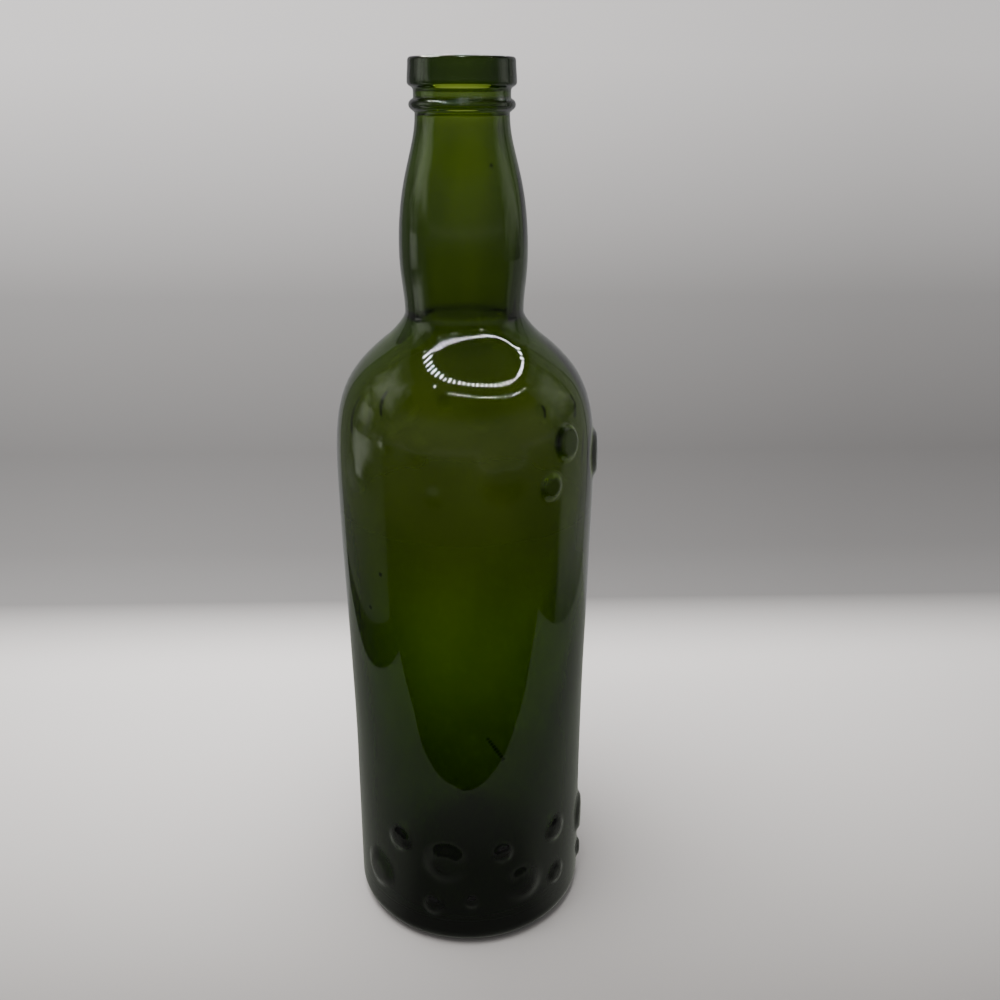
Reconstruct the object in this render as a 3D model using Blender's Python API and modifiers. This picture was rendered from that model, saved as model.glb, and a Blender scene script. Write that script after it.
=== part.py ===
"""Green glass wine bottle, empty and open, standing on the origin with +Z up.

The bottle is one piece of glass: a hollow turned shell with a pushed-up base,
and two bands of raised round bosses moulded on its outside.
"""

import math
import random

import bmesh
import bpy

# Overall sizes, in metres
HEIGHT = 0.280
BODY_RADIUS = 0.0407
WAIST_RADIUS = 0.0391
FOOT_RADIUS = 0.0394

# Thickness of the glass, which is thinnest where it was blown out furthest
SHOULDER_WALL = 0.0025
WAIST_WALL = 0.0050
FOOT_WALL = 0.0054
NECK_WALL = 0.0036

# Heights above the table
WAIST_HEIGHT = 0.060
SHOULDER_START = 0.1580
CREASE_HEIGHT = 0.2094
BULGE_HEIGHT = 0.2271

# Base
HEEL_RADIUS = 0.0060
REST_RING_INNER = 0.0305
PUNT_HEIGHT = 0.0270
BASE_THICKNESS = 0.0050
FLOOR_RADIUS = 0.0310
FLOOR_HEIGHT = 0.0070
FOOT_TOP = 0.0144
PUNT_STEEP = (0.0275, 0.0162)
PUNT_FLAT = 0.0131
PUNT_TOP_EASE = (0.0146, 0.0320)
PUNT_FOOT_EASE = (0.0270, 0.0099)
HEEL_CORNER = (0.0330, 0.0058)
FLOOR_EASE = 0.0037

# Neck
CREASE_RADIUS = 0.0179
BULGE_RADIUS = 0.0191
THROAT_RADIUS = 0.01355
BORE_RADIUS = 0.0103
THROAT_BORE = 0.0105

# How far each curve runs on in its first direction before it turns
THROAT_EASE = 0.0108
BULGE_EASE_UP = 0.0216
BULGE_EASE_DOWN = 0.0080
CREASE_EASE = 0.0060
BORE_EASE = 0.0080
BODY_EASE = 0.0200
WAIST_EASE = 0.0300

# Shoulder: a small hollow under the crease, and then the round shoulder
HOLLOW_EASE = 0.0026
HOLLOW_ARRIVE = (0.0231, 0.2020)
HOLLOW_END = (0.0237, 0.2016)
SHOULDER_LEAVE = (0.0378, 0.1905)
SHOULDER_EASE = 0.0250
INNER_HOLLOW_EASE = 0.0030
INNER_HOLLOW_ARRIVE = (0.0209, 0.1999)
INNER_HOLLOW_END = (0.0218, 0.1992)
INNER_SHOULDER_LEAVE = (0.0354, 0.1886)
INNER_SHOULDER_EASE = 0.0240

# Finish: a flat band, a groove and a bead, measured down from the top
LIP_RADIUS = 0.0152
LIP_ROUND = 0.0010
BAND_RADIUS = 0.0155
BAND_DEPTH = 0.0066
GROOVE_RADIUS = 0.01385
GROOVE_TOP = 0.0089
GROOVE_END = 0.0107
BEAD_CENTRE = 0.0125
BEAD_ROUND = 0.0016
THROAT_START = 0.0146
BORE_FLARE_END = 0.0180

# Turning and relief
TURN_STEPS = 40
MERGE_DISTANCE = 0.00001
BOSS_SEAT = 0.0010
BOSS_RISE_BASE = 0.0008
BOSS_RISE_RATIO = 0.028
BOSS_SEGMENTS = 10
BOSS_RINGS = 6

# Bosses on the front half: height, angle round from the front, diameter
SHOULDER_BOSSES = (
    (0.1655, -50.0, 0.0170),
    (0.1780, -35.0, 0.0080),
    (0.1765, -20.5, 0.0095),
    (0.1640, -13.5, 0.0075),
    (0.1700, 15.5, 0.0195),
    (0.1640, 37.5, 0.0090),
    (0.1757, 48.0, 0.0115),
    (0.1655, 83.0, 0.0175),
)
BASE_BOSSES = (
    (0.0215, -52.0, 0.0170),
    (0.0392, -36.5, 0.0115),
    (0.0162, -18.5, 0.0090),
    (0.0340, -12.0, 0.0185),
    (0.0188, 0.5, 0.0065),
    (0.0370, 16.0, 0.0090),
    (0.0229, 27.0, 0.0180),
    (0.0381, 47.5, 0.0115),
    (0.0192, 48.5, 0.0095),
    (0.0290, 82.0, 0.0170),
    (0.0125, 83.0, 0.0085),
)

# Bosses on the back half are strewn by rule between these angles
BACK_FROM = 98.0
BACK_TO = 258.0
BACK_SIZES = (0.0185, 0.0170, 0.0115, 0.0110, 0.0090, 0.0080)
SHOULDER_BAND = (0.164, 0.176)
BASE_BAND = (0.017, 0.037)
SHOULDER_BACK_COUNT = 6
BASE_BACK_COUNT = 8
BOSS_GAP = 0.0015
STREW_TRIES = 4000
STREW_SEED = 5

GLASS_COLOR = (0.055, 0.085, 0.008, 1.0)
GLASS_IOR = 1.52


def bezier(start, leave, arrive, end, count):
    """Points on a cubic curve, without its start, evenly spaced in its parameter."""
    points = []
    for i in range(1, count + 1):
        t = i / count
        weights = ((1 - t) ** 3, 3 * t * (1 - t) ** 2, 3 * t * t * (1 - t), t ** 3)
        corners = (start, leave, arrive, end)
        points.append(tuple(sum(w * c[k] for w, c in zip(weights, corners)) for k in (0, 1)))
    return points


def shifted(point, rise):
    """The point moved straight up or down."""
    return (point[0], point[1] + rise)


def arc(centre, radius, first, last, count):
    """Points on a circle from angle first to angle last, in degrees."""
    points = []
    for i in range(count + 1):
        angle = math.radians(first + (last - first) * i / count)
        points.append((centre[0] + radius * math.cos(angle), centre[1] + radius * math.sin(angle)))
    return points


def finish_outline():
    """The mouth's outside, from the top of the bore over the lip down to the throat."""
    lip_centre = (LIP_RADIUS - LIP_ROUND, HEIGHT - LIP_ROUND)
    bead_centre = (LIP_RADIUS - BEAD_ROUND, HEIGHT - BEAD_CENTRE)
    points = [(BORE_RADIUS, HEIGHT - LIP_ROUND / 2), (BORE_RADIUS + LIP_ROUND / 2, HEIGHT)]
    points += arc(lip_centre, LIP_ROUND, 90, 0, 3)
    band_end = (BAND_RADIUS, HEIGHT - BAND_DEPTH)
    points.append(band_end)
    groove_top = (GROOVE_RADIUS, HEIGHT - GROOVE_TOP)
    points += bezier(band_end, (BAND_RADIUS, HEIGHT - GROOVE_TOP + LIP_ROUND),
                     (GROOVE_RADIUS, HEIGHT - BAND_DEPTH - LIP_ROUND), groove_top, 3)
    points.append((GROOVE_RADIUS, HEIGHT - GROOVE_END))
    points += arc(bead_centre, BEAD_ROUND, 60, -60, 5)
    return points


def neck_outline():
    """The outside of the neck: the throat, the swelling and in to the crease."""
    throat = (THROAT_RADIUS, HEIGHT - THROAT_START)
    bulge = (BULGE_RADIUS, BULGE_HEIGHT)
    crease = (CREASE_RADIUS, CREASE_HEIGHT)
    points = [throat]
    points += bezier(throat, shifted(throat, -THROAT_EASE), shifted(bulge, BULGE_EASE_UP), bulge, 7)
    points += bezier(bulge, shifted(bulge, -BULGE_EASE_DOWN), shifted(crease, CREASE_EASE), crease, 3)
    return points


def shoulder_outline():
    """From the crease over the shoulder to the body."""
    crease = (CREASE_RADIUS, CREASE_HEIGHT)
    body = (BODY_RADIUS, SHOULDER_START)
    points = bezier(crease, shifted(crease, -HOLLOW_EASE), HOLLOW_ARRIVE, HOLLOW_END, 3)
    return points + bezier(HOLLOW_END, SHOULDER_LEAVE, shifted(body, SHOULDER_EASE), body, 8)


def body_outline():
    """The outside of the body, which draws in a little, and round the heel."""
    top = (BODY_RADIUS, SHOULDER_START)
    waist = (WAIST_RADIUS, WAIST_HEIGHT)
    points = bezier(top, shifted(top, -BODY_EASE), shifted(waist, WAIST_EASE), waist, 4)
    heel_centre = (FOOT_RADIUS - HEEL_RADIUS, HEEL_RADIUS)
    points += arc(heel_centre, HEEL_RADIUS, 0, -90, 5)
    return points


def punt_outline():
    """The underside: from the resting ring up to the middle of the base."""
    ring = (REST_RING_INNER, 0.0)
    return [ring] + bezier(ring, PUNT_STEEP, (PUNT_FLAT, PUNT_HEIGHT), (0.0, PUNT_HEIGHT), 5)


def inside_outline():
    """The inside, from the middle of the base up to the top of the bore."""
    apex = (0.0, PUNT_HEIGHT + BASE_THICKNESS)
    floor = (FLOOR_RADIUS, FLOOR_HEIGHT)
    foot = (FOOT_RADIUS - FOOT_WALL, FOOT_TOP)
    waist = (WAIST_RADIUS - WAIST_WALL, WAIST_HEIGHT)
    body = (BODY_RADIUS - SHOULDER_WALL, SHOULDER_START)
    crease = (CREASE_RADIUS - NECK_WALL, CREASE_HEIGHT - NECK_WALL / 2)
    bulge = (BULGE_RADIUS - NECK_WALL, BULGE_HEIGHT)
    bore = (THROAT_BORE, HEIGHT - BORE_FLARE_END)
    points = [apex]
    points += bezier(apex, PUNT_TOP_EASE, PUNT_FOOT_EASE, floor, 4)
    points += bezier(floor, HEEL_CORNER, shifted(foot, -FLOOR_EASE), foot, 3)
    points.append(waist)
    points += bezier(waist, shifted(waist, WAIST_EASE), shifted(body, -BODY_EASE), body, 3)
    points += bezier(body, shifted(body, INNER_SHOULDER_EASE), INNER_SHOULDER_LEAVE, INNER_HOLLOW_END, 7)
    points += bezier(INNER_HOLLOW_END, INNER_HOLLOW_ARRIVE, shifted(crease, -INNER_HOLLOW_EASE), crease, 3)
    points += bezier(crease, shifted(crease, CREASE_EASE), shifted(bulge, -BULGE_EASE_DOWN), bulge, 2)
    points += bezier(bulge, shifted(bulge, BULGE_EASE_UP), shifted(bore, -BORE_EASE), bore, 4)
    return points


def outside_outline():
    """The whole outside of the glass, from the bore's top edge to the resting ring."""
    return finish_outline() + neck_outline() + shoulder_outline() + body_outline()


def outside_radius(height):
    """The radius of the outside at a height on the body or the shoulder."""
    points = outside_outline()
    for above, below in zip(points, points[1:]):
        if below[1] <= height <= above[1]:
            share = (height - below[1]) / (above[1] - below[1])
            return below[0] + share * (above[0] - below[0])
    raise ValueError("no outside at this height")


def turned_shell(collection):
    """The bottle's glass: the section turned about +Z."""
    points = inside_outline() + outside_outline() + punt_outline()
    mesh = bpy.data.meshes.new("bottle")
    edges = [(i, i + 1) for i in range(len(points) - 1)]
    mesh.from_pydata([(r, 0.0, z) for r, z in points], edges, [])
    bottle = bpy.data.objects.new("bottle", mesh)
    collection.objects.link(bottle)
    screw = bottle.modifiers.new("turn", "SCREW")
    screw.axis = "Z"
    screw.angle = math.tau
    screw.steps = TURN_STEPS
    screw.render_steps = TURN_STEPS
    screw.use_merge_vertices = True
    screw.merge_threshold = MERGE_DISTANCE
    screw.use_smooth_shade = True
    return bottle


def boss_rise(diameter):
    """How far a boss of this diameter stands off the wall."""
    return BOSS_RISE_BASE + BOSS_RISE_RATIO * diameter


def boss(name, height, angle, diameter, collection):
    """A round lens of glass, wrapped on the outside of the wall."""
    shape = bmesh.new()
    bmesh.ops.create_uvsphere(shape, u_segments=BOSS_SEGMENTS, v_segments=BOSS_RINGS, radius=1.0)
    rise = boss_rise(diameter)
    for vertex in shape.verts:
        across, up, out = vertex.co
        level = height + up * diameter / 2
        radius = outside_radius(level) + max(out * rise, -BOSS_SEAT)
        turn = math.radians(angle) + across * diameter / 2 / outside_radius(height)
        vertex.co = (radius * math.sin(turn), -radius * math.cos(turn), level)
    bmesh.ops.recalc_face_normals(shape, faces=shape.faces)
    mesh = bpy.data.meshes.new(name)
    shape.to_mesh(mesh)
    shape.free()
    collection.objects.link(bpy.data.objects.new(name, mesh))


def distance_round(first, second):
    """How far apart two bosses' middles are, measured on the wall."""
    turn = math.radians((first[1] - second[1] + 180.0) % 360.0 - 180.0)
    return math.hypot(turn * BODY_RADIUS, first[0] - second[0])


def strewn(band, count, taken, draw):
    """Bosses of the usual sizes, strewn over the back of a band without touching."""
    placed = list(taken)
    made = []
    for _ in range(STREW_TRIES):
        if len(made) == count:
            break
        diameter = BACK_SIZES[len(made) % len(BACK_SIZES)]
        candidate = (draw.uniform(*band), draw.uniform(BACK_FROM, BACK_TO), diameter)
        if all(distance_round(candidate, other) > (diameter + other[2]) / 2 + BOSS_GAP for other in placed):
            placed.append(candidate)
            made.append(candidate)
    return made


def all_bosses():
    """Every boss as height, angle and diameter: the front ones and the strewn ones."""
    draw = random.Random(STREW_SEED)
    shoulder = list(SHOULDER_BOSSES)
    shoulder += strewn(SHOULDER_BAND, SHOULDER_BACK_COUNT, SHOULDER_BOSSES, draw)
    base = list(BASE_BOSSES)
    base += strewn(BASE_BAND, BASE_BACK_COUNT, BASE_BOSSES, draw)
    return shoulder + base


def join_bosses(bottle):
    """Fuse all the bosses to the glass with one union."""
    bosses = bpy.data.collections.new("bosses")
    bpy.context.scene.collection.children.link(bosses)
    for number, (height, angle, diameter) in enumerate(all_bosses()):
        boss(f"boss_{number:02d}", height, angle, diameter, bosses)
    union = bottle.modifiers.new("bosses", "BOOLEAN")
    union.operation = "UNION"
    union.operand_type = "COLLECTION"
    union.collection = bosses
    union.solver = "EXACT"
    view = bpy.context.evaluated_depsgraph_get()
    joined = bpy.data.meshes.new_from_object(bottle.evaluated_get(view))
    bottle.modifiers.clear()
    bottle.data = joined
    for lens in list(bosses.objects):
        bpy.data.objects.remove(lens, do_unlink=True)


def glass_material():
    """Olive-green bottle glass."""
    material = bpy.data.materials.new("green_glass")
    material.use_nodes = True
    shader = material.node_tree.nodes["Principled BSDF"]
    shader.inputs["Base Color"].default_value = GLASS_COLOR
    shader.inputs["Roughness"].default_value = 0.03
    shader.inputs["IOR"].default_value = GLASS_IOR
    shader.inputs["Metallic"].default_value = 0.0
    shader.inputs["Transmission Weight"].default_value = 0.9
    return material


def main():
    """Build the bottle."""
    for old in list(bpy.data.objects):
        bpy.data.objects.remove(old, do_unlink=True)
    collection = bpy.data.collections.new("wine_bottle")
    bpy.context.scene.collection.children.link(collection)
    bottle = turned_shell(collection)
    join_bosses(bottle)
    bottle.data.materials.clear()
    bottle.data.materials.append(glass_material())
    bottle.data.shade_smooth()
    bottle.data.set_sharp_from_angle(angle=math.radians(40.0))


main()
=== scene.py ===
# %% [markdown]
# # A green glass wine bottle
#
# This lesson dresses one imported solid, an empty wine bottle, as clear olive-green
# glass. The solid is faceted, which is right for measuring and for physics, but
# glass shows every facet. So the lesson turns a fine shell of the same size, lays
# the moulded relief on it, gives it real glass with colour in its depth, and then
# lights it the way a bottle is photographed in a small light tent.

# %% Load the frame
import math
import random

import bmesh
import bpy
import numpy as np
from mathutils import Matrix, Vector


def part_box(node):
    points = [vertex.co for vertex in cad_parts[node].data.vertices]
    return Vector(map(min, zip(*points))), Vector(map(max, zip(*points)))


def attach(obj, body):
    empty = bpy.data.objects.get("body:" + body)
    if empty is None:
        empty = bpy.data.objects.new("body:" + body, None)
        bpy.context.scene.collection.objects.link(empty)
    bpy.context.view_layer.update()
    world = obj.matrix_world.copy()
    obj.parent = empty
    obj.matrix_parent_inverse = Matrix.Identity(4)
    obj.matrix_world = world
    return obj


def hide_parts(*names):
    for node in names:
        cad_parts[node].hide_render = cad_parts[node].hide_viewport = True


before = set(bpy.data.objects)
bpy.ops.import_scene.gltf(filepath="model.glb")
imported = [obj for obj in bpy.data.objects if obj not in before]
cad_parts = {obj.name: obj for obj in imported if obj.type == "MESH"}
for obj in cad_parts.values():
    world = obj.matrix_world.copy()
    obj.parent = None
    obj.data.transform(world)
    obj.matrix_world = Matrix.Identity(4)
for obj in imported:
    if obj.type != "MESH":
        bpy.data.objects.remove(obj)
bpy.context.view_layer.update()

node_low, node_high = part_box("bottle")
HEIGHT = node_high[2]
print("the bottle stands from", round(node_low[2], 4), "to", round(HEIGHT, 4))

# %% [markdown]
# ## The camera
#
# The picture was taken from close by, about level with the mouth and looking down,
# so the bottle seems to taper towards its foot. A long lens would lose that. The
# camera stands a little over one bottle height away, and its angles are named here,
# because everything else is judged from this one view.

# %% Camera
FOCAL_LENGTH = 37.8
CAMERA_DISTANCE = 1.1317 * HEIGHT
CAMERA_HEIGHT = 0.9704 * HEIGHT
CAMERA_PITCH = 21.40
CAMERA_TURN = 1.97
CAMERA_ROLL = 0.11
SENSOR_WIDTH = 36.0


def make_camera():
    """A camera in front of the bottle, turned a little right, tipped down."""
    camera = bpy.data.objects.new("camera", bpy.data.cameras.new("camera"))
    bpy.context.scene.collection.objects.link(camera)
    camera.data.lens = FOCAL_LENGTH
    camera.data.sensor_width = SENSOR_WIDTH
    turn = Matrix.Rotation(math.radians(-CAMERA_TURN), 4, "Z")
    tip = Matrix.Rotation(math.radians(90.0 - CAMERA_PITCH), 4, "X")
    roll = Matrix.Rotation(math.radians(CAMERA_ROLL), 4, "Z")
    place = Matrix.Translation((0.0, -CAMERA_DISTANCE, CAMERA_HEIGHT))
    camera.matrix_world = place @ turn @ tip @ roll
    bpy.context.scene.camera = camera
    return camera


camera = make_camera()
print("camera at", [round(c, 3) for c in camera.location])

# %% [markdown]
# ## The outline
#
# Glass bottles are blown into a mould, and the mould is turned, so the whole form
# follows from one half section. The long sweeps are cubic curves: each leaves its
# start straight on, and arrives at its end straight on, which is how a mould maker
# joins a neck to a shoulder. Only the mouth and the heel have small arcs. The last
# number in each call is how many points that curve gets.

# %% Curves for the section
BODY_RADIUS = 0.0407
WAIST_RADIUS = 0.0391
FOOT_RADIUS = 0.0394
WAIST_HEIGHT = 0.060
SHOULDER_START = 0.1580
CREASE_RADIUS = 0.0179
CREASE_HEIGHT = 0.2094
BULGE_RADIUS = 0.0191
BULGE_HEIGHT = 0.2271
THROAT_RADIUS = 0.01355
BORE_RADIUS = 0.0103
THROAT_BORE = 0.0105
SHOULDER_WALL = 0.0025
WAIST_WALL = 0.0050
FOOT_WALL = 0.0054
NECK_WALL = 0.0036


def bezier(start, leave, arrive, end, count):
    """Points on a cubic curve, without its start."""
    points = []
    for i in range(1, count + 1):
        t = i / count
        weights = ((1 - t) ** 3, 3 * t * (1 - t) ** 2, 3 * t * t * (1 - t), t ** 3)
        corners = (start, leave, arrive, end)
        points.append(tuple(sum(w * c[k] for w, c in zip(weights, corners)) for k in (0, 1)))
    return points


def shifted(point, rise):
    """The point moved straight up or down."""
    return (point[0], point[1] + rise)


def arc(centre, radius, first, last, count):
    """Points on a circle from angle first to angle last, in degrees."""
    points = []
    for i in range(count + 1):
        angle = math.radians(first + (last - first) * i / count)
        points.append((centre[0] + radius * math.cos(angle), centre[1] + radius * math.sin(angle)))
    return points


walls = (SHOULDER_WALL, WAIST_WALL, FOOT_WALL, NECK_WALL)
print("walls at shoulder, waist, foot and neck in mm", [round(wall * 1000, 1) for wall in walls])

# %% [markdown]
# The mouth, which glass makers call the finish, is a flat band over a groove and a
# round bead. Real glass has no sharp edge, because the flame melts it round. A Bevel
# modifier could round the edges afterwards, but it would round all of them alike. In
# the section each corner gets the small arc or curve that it has on the bottle.

# %% The mouth
LIP_RADIUS = 0.0152
LIP_ROUND = 0.0010
BAND_RADIUS = 0.0155
BAND_DEPTH = 0.0066
GROOVE_RADIUS = 0.01385
GROOVE_TOP = 0.0089
GROOVE_END = 0.0107
BEAD_CENTRE = 0.0125
BEAD_ROUND = 0.0016
BEAD_ANGLE = 62
THROAT_START = 0.0146
BORE_FLARE_END = 0.0180
BAND_SIDE_EASE = 0.0020
GROOVE_TOP_EASE = 0.0006
GROOVE_END_EASE = 0.0004


def finish_outline():
    """From the top of the bore over the lip, the band, the groove and the bead."""
    lip = arc((LIP_RADIUS - LIP_ROUND, HEIGHT - LIP_ROUND), LIP_ROUND, 90, 0, 8)
    mouth = arc((BORE_RADIUS + LIP_ROUND / 2, HEIGHT - LIP_ROUND / 2), LIP_ROUND / 2, 180, 90, 5)
    band_end = (BAND_RADIUS, HEIGHT - BAND_DEPTH)
    groove_top = (GROOVE_RADIUS, HEIGHT - GROOVE_TOP)
    groove_end = (GROOVE_RADIUS, HEIGHT - GROOVE_END)
    points = mouth + lip
    points += bezier(lip[-1], shifted(lip[-1], -BAND_SIDE_EASE),
                     shifted(band_end, BAND_SIDE_EASE), band_end, 5)
    points += bezier(band_end, (BAND_RADIUS, HEIGHT - GROOVE_TOP + LIP_ROUND),
                     (GROOVE_RADIUS, HEIGHT - BAND_DEPTH - LIP_ROUND), groove_top, 8)
    points += bezier(groove_top, shifted(groove_top, -GROOVE_TOP_EASE),
                     shifted(groove_end, GROOVE_END_EASE), groove_end, 4)
    bead_centre = (LIP_RADIUS - BEAD_ROUND, HEIGHT - BEAD_CENTRE)
    points += arc(bead_centre, BEAD_ROUND, BEAD_ANGLE, -BEAD_ANGLE, 12)
    return points


print("mouth points", len(finish_outline()))

# %% [markdown]
# The neck swells below the throat and draws in again to a crease. One long curve each
# way is enough. Each curve is steered by how far it leans straight up or down before it
# bends, and that length is called its ease here. The inside uses some of the same ones,
# so both walls bend together.

# %% The neck
THROAT_EASE = 0.0108
BULGE_EASE_UP = 0.0216
BULGE_EASE_DOWN = 0.0080
CREASE_EASE = 0.0060
BORE_EASE = 0.0080


def neck_outline():
    """The outside of the neck: the throat, the swelling and in to the crease."""
    throat = (THROAT_RADIUS, HEIGHT - THROAT_START)
    bulge = (BULGE_RADIUS, BULGE_HEIGHT)
    crease = (CREASE_RADIUS, CREASE_HEIGHT)
    points = [throat]
    points += bezier(throat, shifted(throat, -THROAT_EASE), shifted(bulge, BULGE_EASE_UP), bulge, 30)
    points += bezier(bulge, shifted(bulge, -BULGE_EASE_DOWN), shifted(crease, CREASE_EASE), crease, 16)
    return points


print("neck points", len(neck_outline()))

# %% [markdown]
# Under the crease lies a soft hollow, and then the shoulder sweeps out to the body. A
# single curve would lose the hollow. So a short curve makes the hollow and a long one
# makes the sweep, and they share one direction where they meet.

# %% The shoulder
HOLLOW_EASE = 0.0026
HOLLOW_ARRIVE = (0.0231, 0.2020)
HOLLOW_END = (0.0237, 0.2016)
SHOULDER_LEAVE = (0.0378, 0.1905)
SHOULDER_EASE = 0.0250
INNER_HOLLOW_EASE = 0.0030
INNER_HOLLOW_ARRIVE = (0.0209, 0.1999)
INNER_HOLLOW_END = (0.0218, 0.1992)
INNER_SHOULDER_LEAVE = (0.0354, 0.1886)
INNER_SHOULDER_EASE = 0.0240


def shoulder_outline():
    """From the crease over the shoulder to the body."""
    crease = (CREASE_RADIUS, CREASE_HEIGHT)
    body = (BODY_RADIUS, SHOULDER_START)
    points = bezier(crease, shifted(crease, -HOLLOW_EASE), HOLLOW_ARRIVE, HOLLOW_END, 18)
    return points + bezier(HOLLOW_END, SHOULDER_LEAVE, shifted(body, SHOULDER_EASE), body, 70)


print("shoulder points", len(shoulder_outline()))

# %% [markdown]
# The body is not a cylinder: it draws in to a waist and opens again above the rounded
# heel. The base is pushed up, and this is called the punt. It is hardly seen from
# outside, but it shows through the glass as a dark round form, so it can't be left flat.

# %% The body and the pushed-up base
BODY_EASE = 0.0200
WAIST_EASE = 0.0300
WAIST_EASE_DOWN = 0.0200
FOOT_EASE = 0.0150
HEEL_RADIUS = 0.0060
REST_RING_INNER = 0.0305
PUNT_HEIGHT = 0.0270
PUNT_STEEP = (0.0275, 0.0162)
PUNT_FLAT = 0.0131


def body_outline():
    """The outside of the body down to the waist, to the foot and round the heel."""
    top = (BODY_RADIUS, SHOULDER_START)
    waist = (WAIST_RADIUS, WAIST_HEIGHT)
    foot = (FOOT_RADIUS, HEEL_RADIUS)
    points = bezier(top, shifted(top, -BODY_EASE), shifted(waist, WAIST_EASE), waist, 70)
    points += bezier(waist, shifted(waist, -WAIST_EASE_DOWN), shifted(foot, FOOT_EASE), foot, 70)
    points += arc((FOOT_RADIUS - HEEL_RADIUS, HEEL_RADIUS), HEEL_RADIUS, 0, -90, 12)[1:]
    return points


def punt_outline():
    """The underside, from the resting ring up to the middle of the pushed-up base."""
    ring = (REST_RING_INNER, 0.0)
    return [ring] + bezier(ring, PUNT_STEEP, (PUNT_FLAT, PUNT_HEIGHT), (0.0, PUNT_HEIGHT), 24)


print("base points", len(punt_outline()))

# %% [markdown]
# Air shapes the inside, not the mould. The glass stretches thin over the shoulder and
# stays thick at the foot. A Solidify modifier would give one even wall, and then the
# green would be even too. So the inside is a section of its own.

# %% The inside
BASE_THICKNESS = 0.0050
FLOOR_RADIUS = 0.0310
FLOOR_HEIGHT = 0.0070
FOOT_TOP = 0.0144
PUNT_TOP_EASE = (0.0146, 0.0320)
PUNT_FOOT_EASE = (0.0270, 0.0099)
HEEL_CORNER = (0.0330, 0.0058)
FLOOR_EASE = 0.0037
INNER_FOOT_EASE = 0.0150
BORE_TOP_EASE = 0.0050


def inside_outline():
    """The inside, from the middle of the base up to the top of the bore."""
    apex = (0.0, PUNT_HEIGHT + BASE_THICKNESS)
    floor = (FLOOR_RADIUS, FLOOR_HEIGHT)
    foot = (FOOT_RADIUS - FOOT_WALL, FOOT_TOP)
    waist = (WAIST_RADIUS - WAIST_WALL, WAIST_HEIGHT)
    body = (BODY_RADIUS - SHOULDER_WALL, SHOULDER_START)
    crease = (CREASE_RADIUS - NECK_WALL, CREASE_HEIGHT - NECK_WALL / 2)
    bulge = (BULGE_RADIUS - NECK_WALL, BULGE_HEIGHT)
    bore = (THROAT_BORE, HEIGHT - BORE_FLARE_END)
    bore_top = (BORE_RADIUS, HEIGHT - LIP_ROUND)
    points = [apex]
    points += bezier(apex, PUNT_TOP_EASE, PUNT_FOOT_EASE, floor, 20)
    points += bezier(floor, HEEL_CORNER, shifted(foot, -FLOOR_EASE), foot, 12)
    points += bezier(foot, shifted(foot, INNER_FOOT_EASE), shifted(waist, -INNER_FOOT_EASE), waist, 46)
    points += bezier(waist, shifted(waist, WAIST_EASE), shifted(body, -BODY_EASE), body, 70)
    points += bezier(body, shifted(body, INNER_SHOULDER_EASE), INNER_SHOULDER_LEAVE, INNER_HOLLOW_END, 54)
    points += bezier(INNER_HOLLOW_END, INNER_HOLLOW_ARRIVE, shifted(crease, -INNER_HOLLOW_EASE), crease, 14)
    points += bezier(crease, shifted(crease, CREASE_EASE), shifted(bulge, -BULGE_EASE_DOWN), bulge, 12)
    points += bezier(bulge, shifted(bulge, BULGE_EASE_UP), shifted(bore, -BORE_EASE), bore, 28)
    points += bezier(bore, shifted(bore, BORE_TOP_EASE), shifted(bore_top, -BORE_TOP_EASE), bore_top, 8)
    return points


outside = finish_outline() + neck_outline() + shoulder_outline() + body_outline()
inside = inside_outline()
print("section points: outside", len(outside), "inside", len(inside))

# %% [markdown]
# ## The relief
#
# Two bands of raised round bosses run round the bottle, one on the shoulder and one
# above the foot. They are moulded with the wall, so they are not pieces: each one
# lifts the outside surface by about a millimetre, with a soft edge and a slightly
# domed top. The ones in front are placed by height and angle, and the hidden side
# is strewn by the same rule that made the solid, so both agree.

# %% Where the bosses are
SHOULDER_BOSSES = (
    (0.1655, -50.0, 0.0170, 0.0085),
    (0.1780, -35.0, 0.0080, 0.0040),
    (0.1765, -20.5, 0.0095, 0.0047),
    (0.1640, -13.5, 0.0075, 0.0037),
    (0.1700, 15.5, 0.0195, 0.0080),
    (0.1640, 37.5, 0.0090, 0.0018),
    (0.1757, 48.0, 0.0115, 0.0018),
    (0.1655, 83.0, 0.0175, 0.0034),
)
BASE_BOSSES = (
    (0.0215, -52.0, 0.0170, 0.0050),
    (0.0392, -36.5, 0.0115, 0.0040),
    (0.0162, -18.5, 0.0090, 0.0030),
    (0.0340, -12.0, 0.0185, 0.0060),
    (0.0188, 0.5, 0.0065, 0.0025),
    (0.0370, 16.0, 0.0090, 0.0030),
    (0.0229, 27.0, 0.0180, 0.0060),
    (0.0381, 47.5, 0.0115, 0.0040),
    (0.0192, 48.5, 0.0095, 0.0030),
    (0.0290, 82.0, 0.0170, 0.0034),
    (0.0125, 83.0, 0.0085, 0.0025),
)
BACK_FROM = 98.0
BACK_TO = 258.0
BACK_SIZES = (0.0185, 0.0170, 0.0115, 0.0110, 0.0090, 0.0080)
SHOULDER_BAND = (0.164, 0.176)
BASE_BAND = (0.017, 0.037)
BOSS_GAP = 0.0015
BOSS_EDGE = 0.0034
BOSS_EDGE_SHARE = 0.3
STREW_SEED = 5
STREW_TRIES = 4000
SHOULDER_STREWN = 6
BASE_STREWN = 8


def distance_round(first, second):
    """How far apart two bosses' middles are, measured on the wall."""
    turn = math.radians((first[1] - second[1] + 180.0) % 360.0 - 180.0)
    return math.hypot(turn * BODY_RADIUS, first[0] - second[0])


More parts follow.
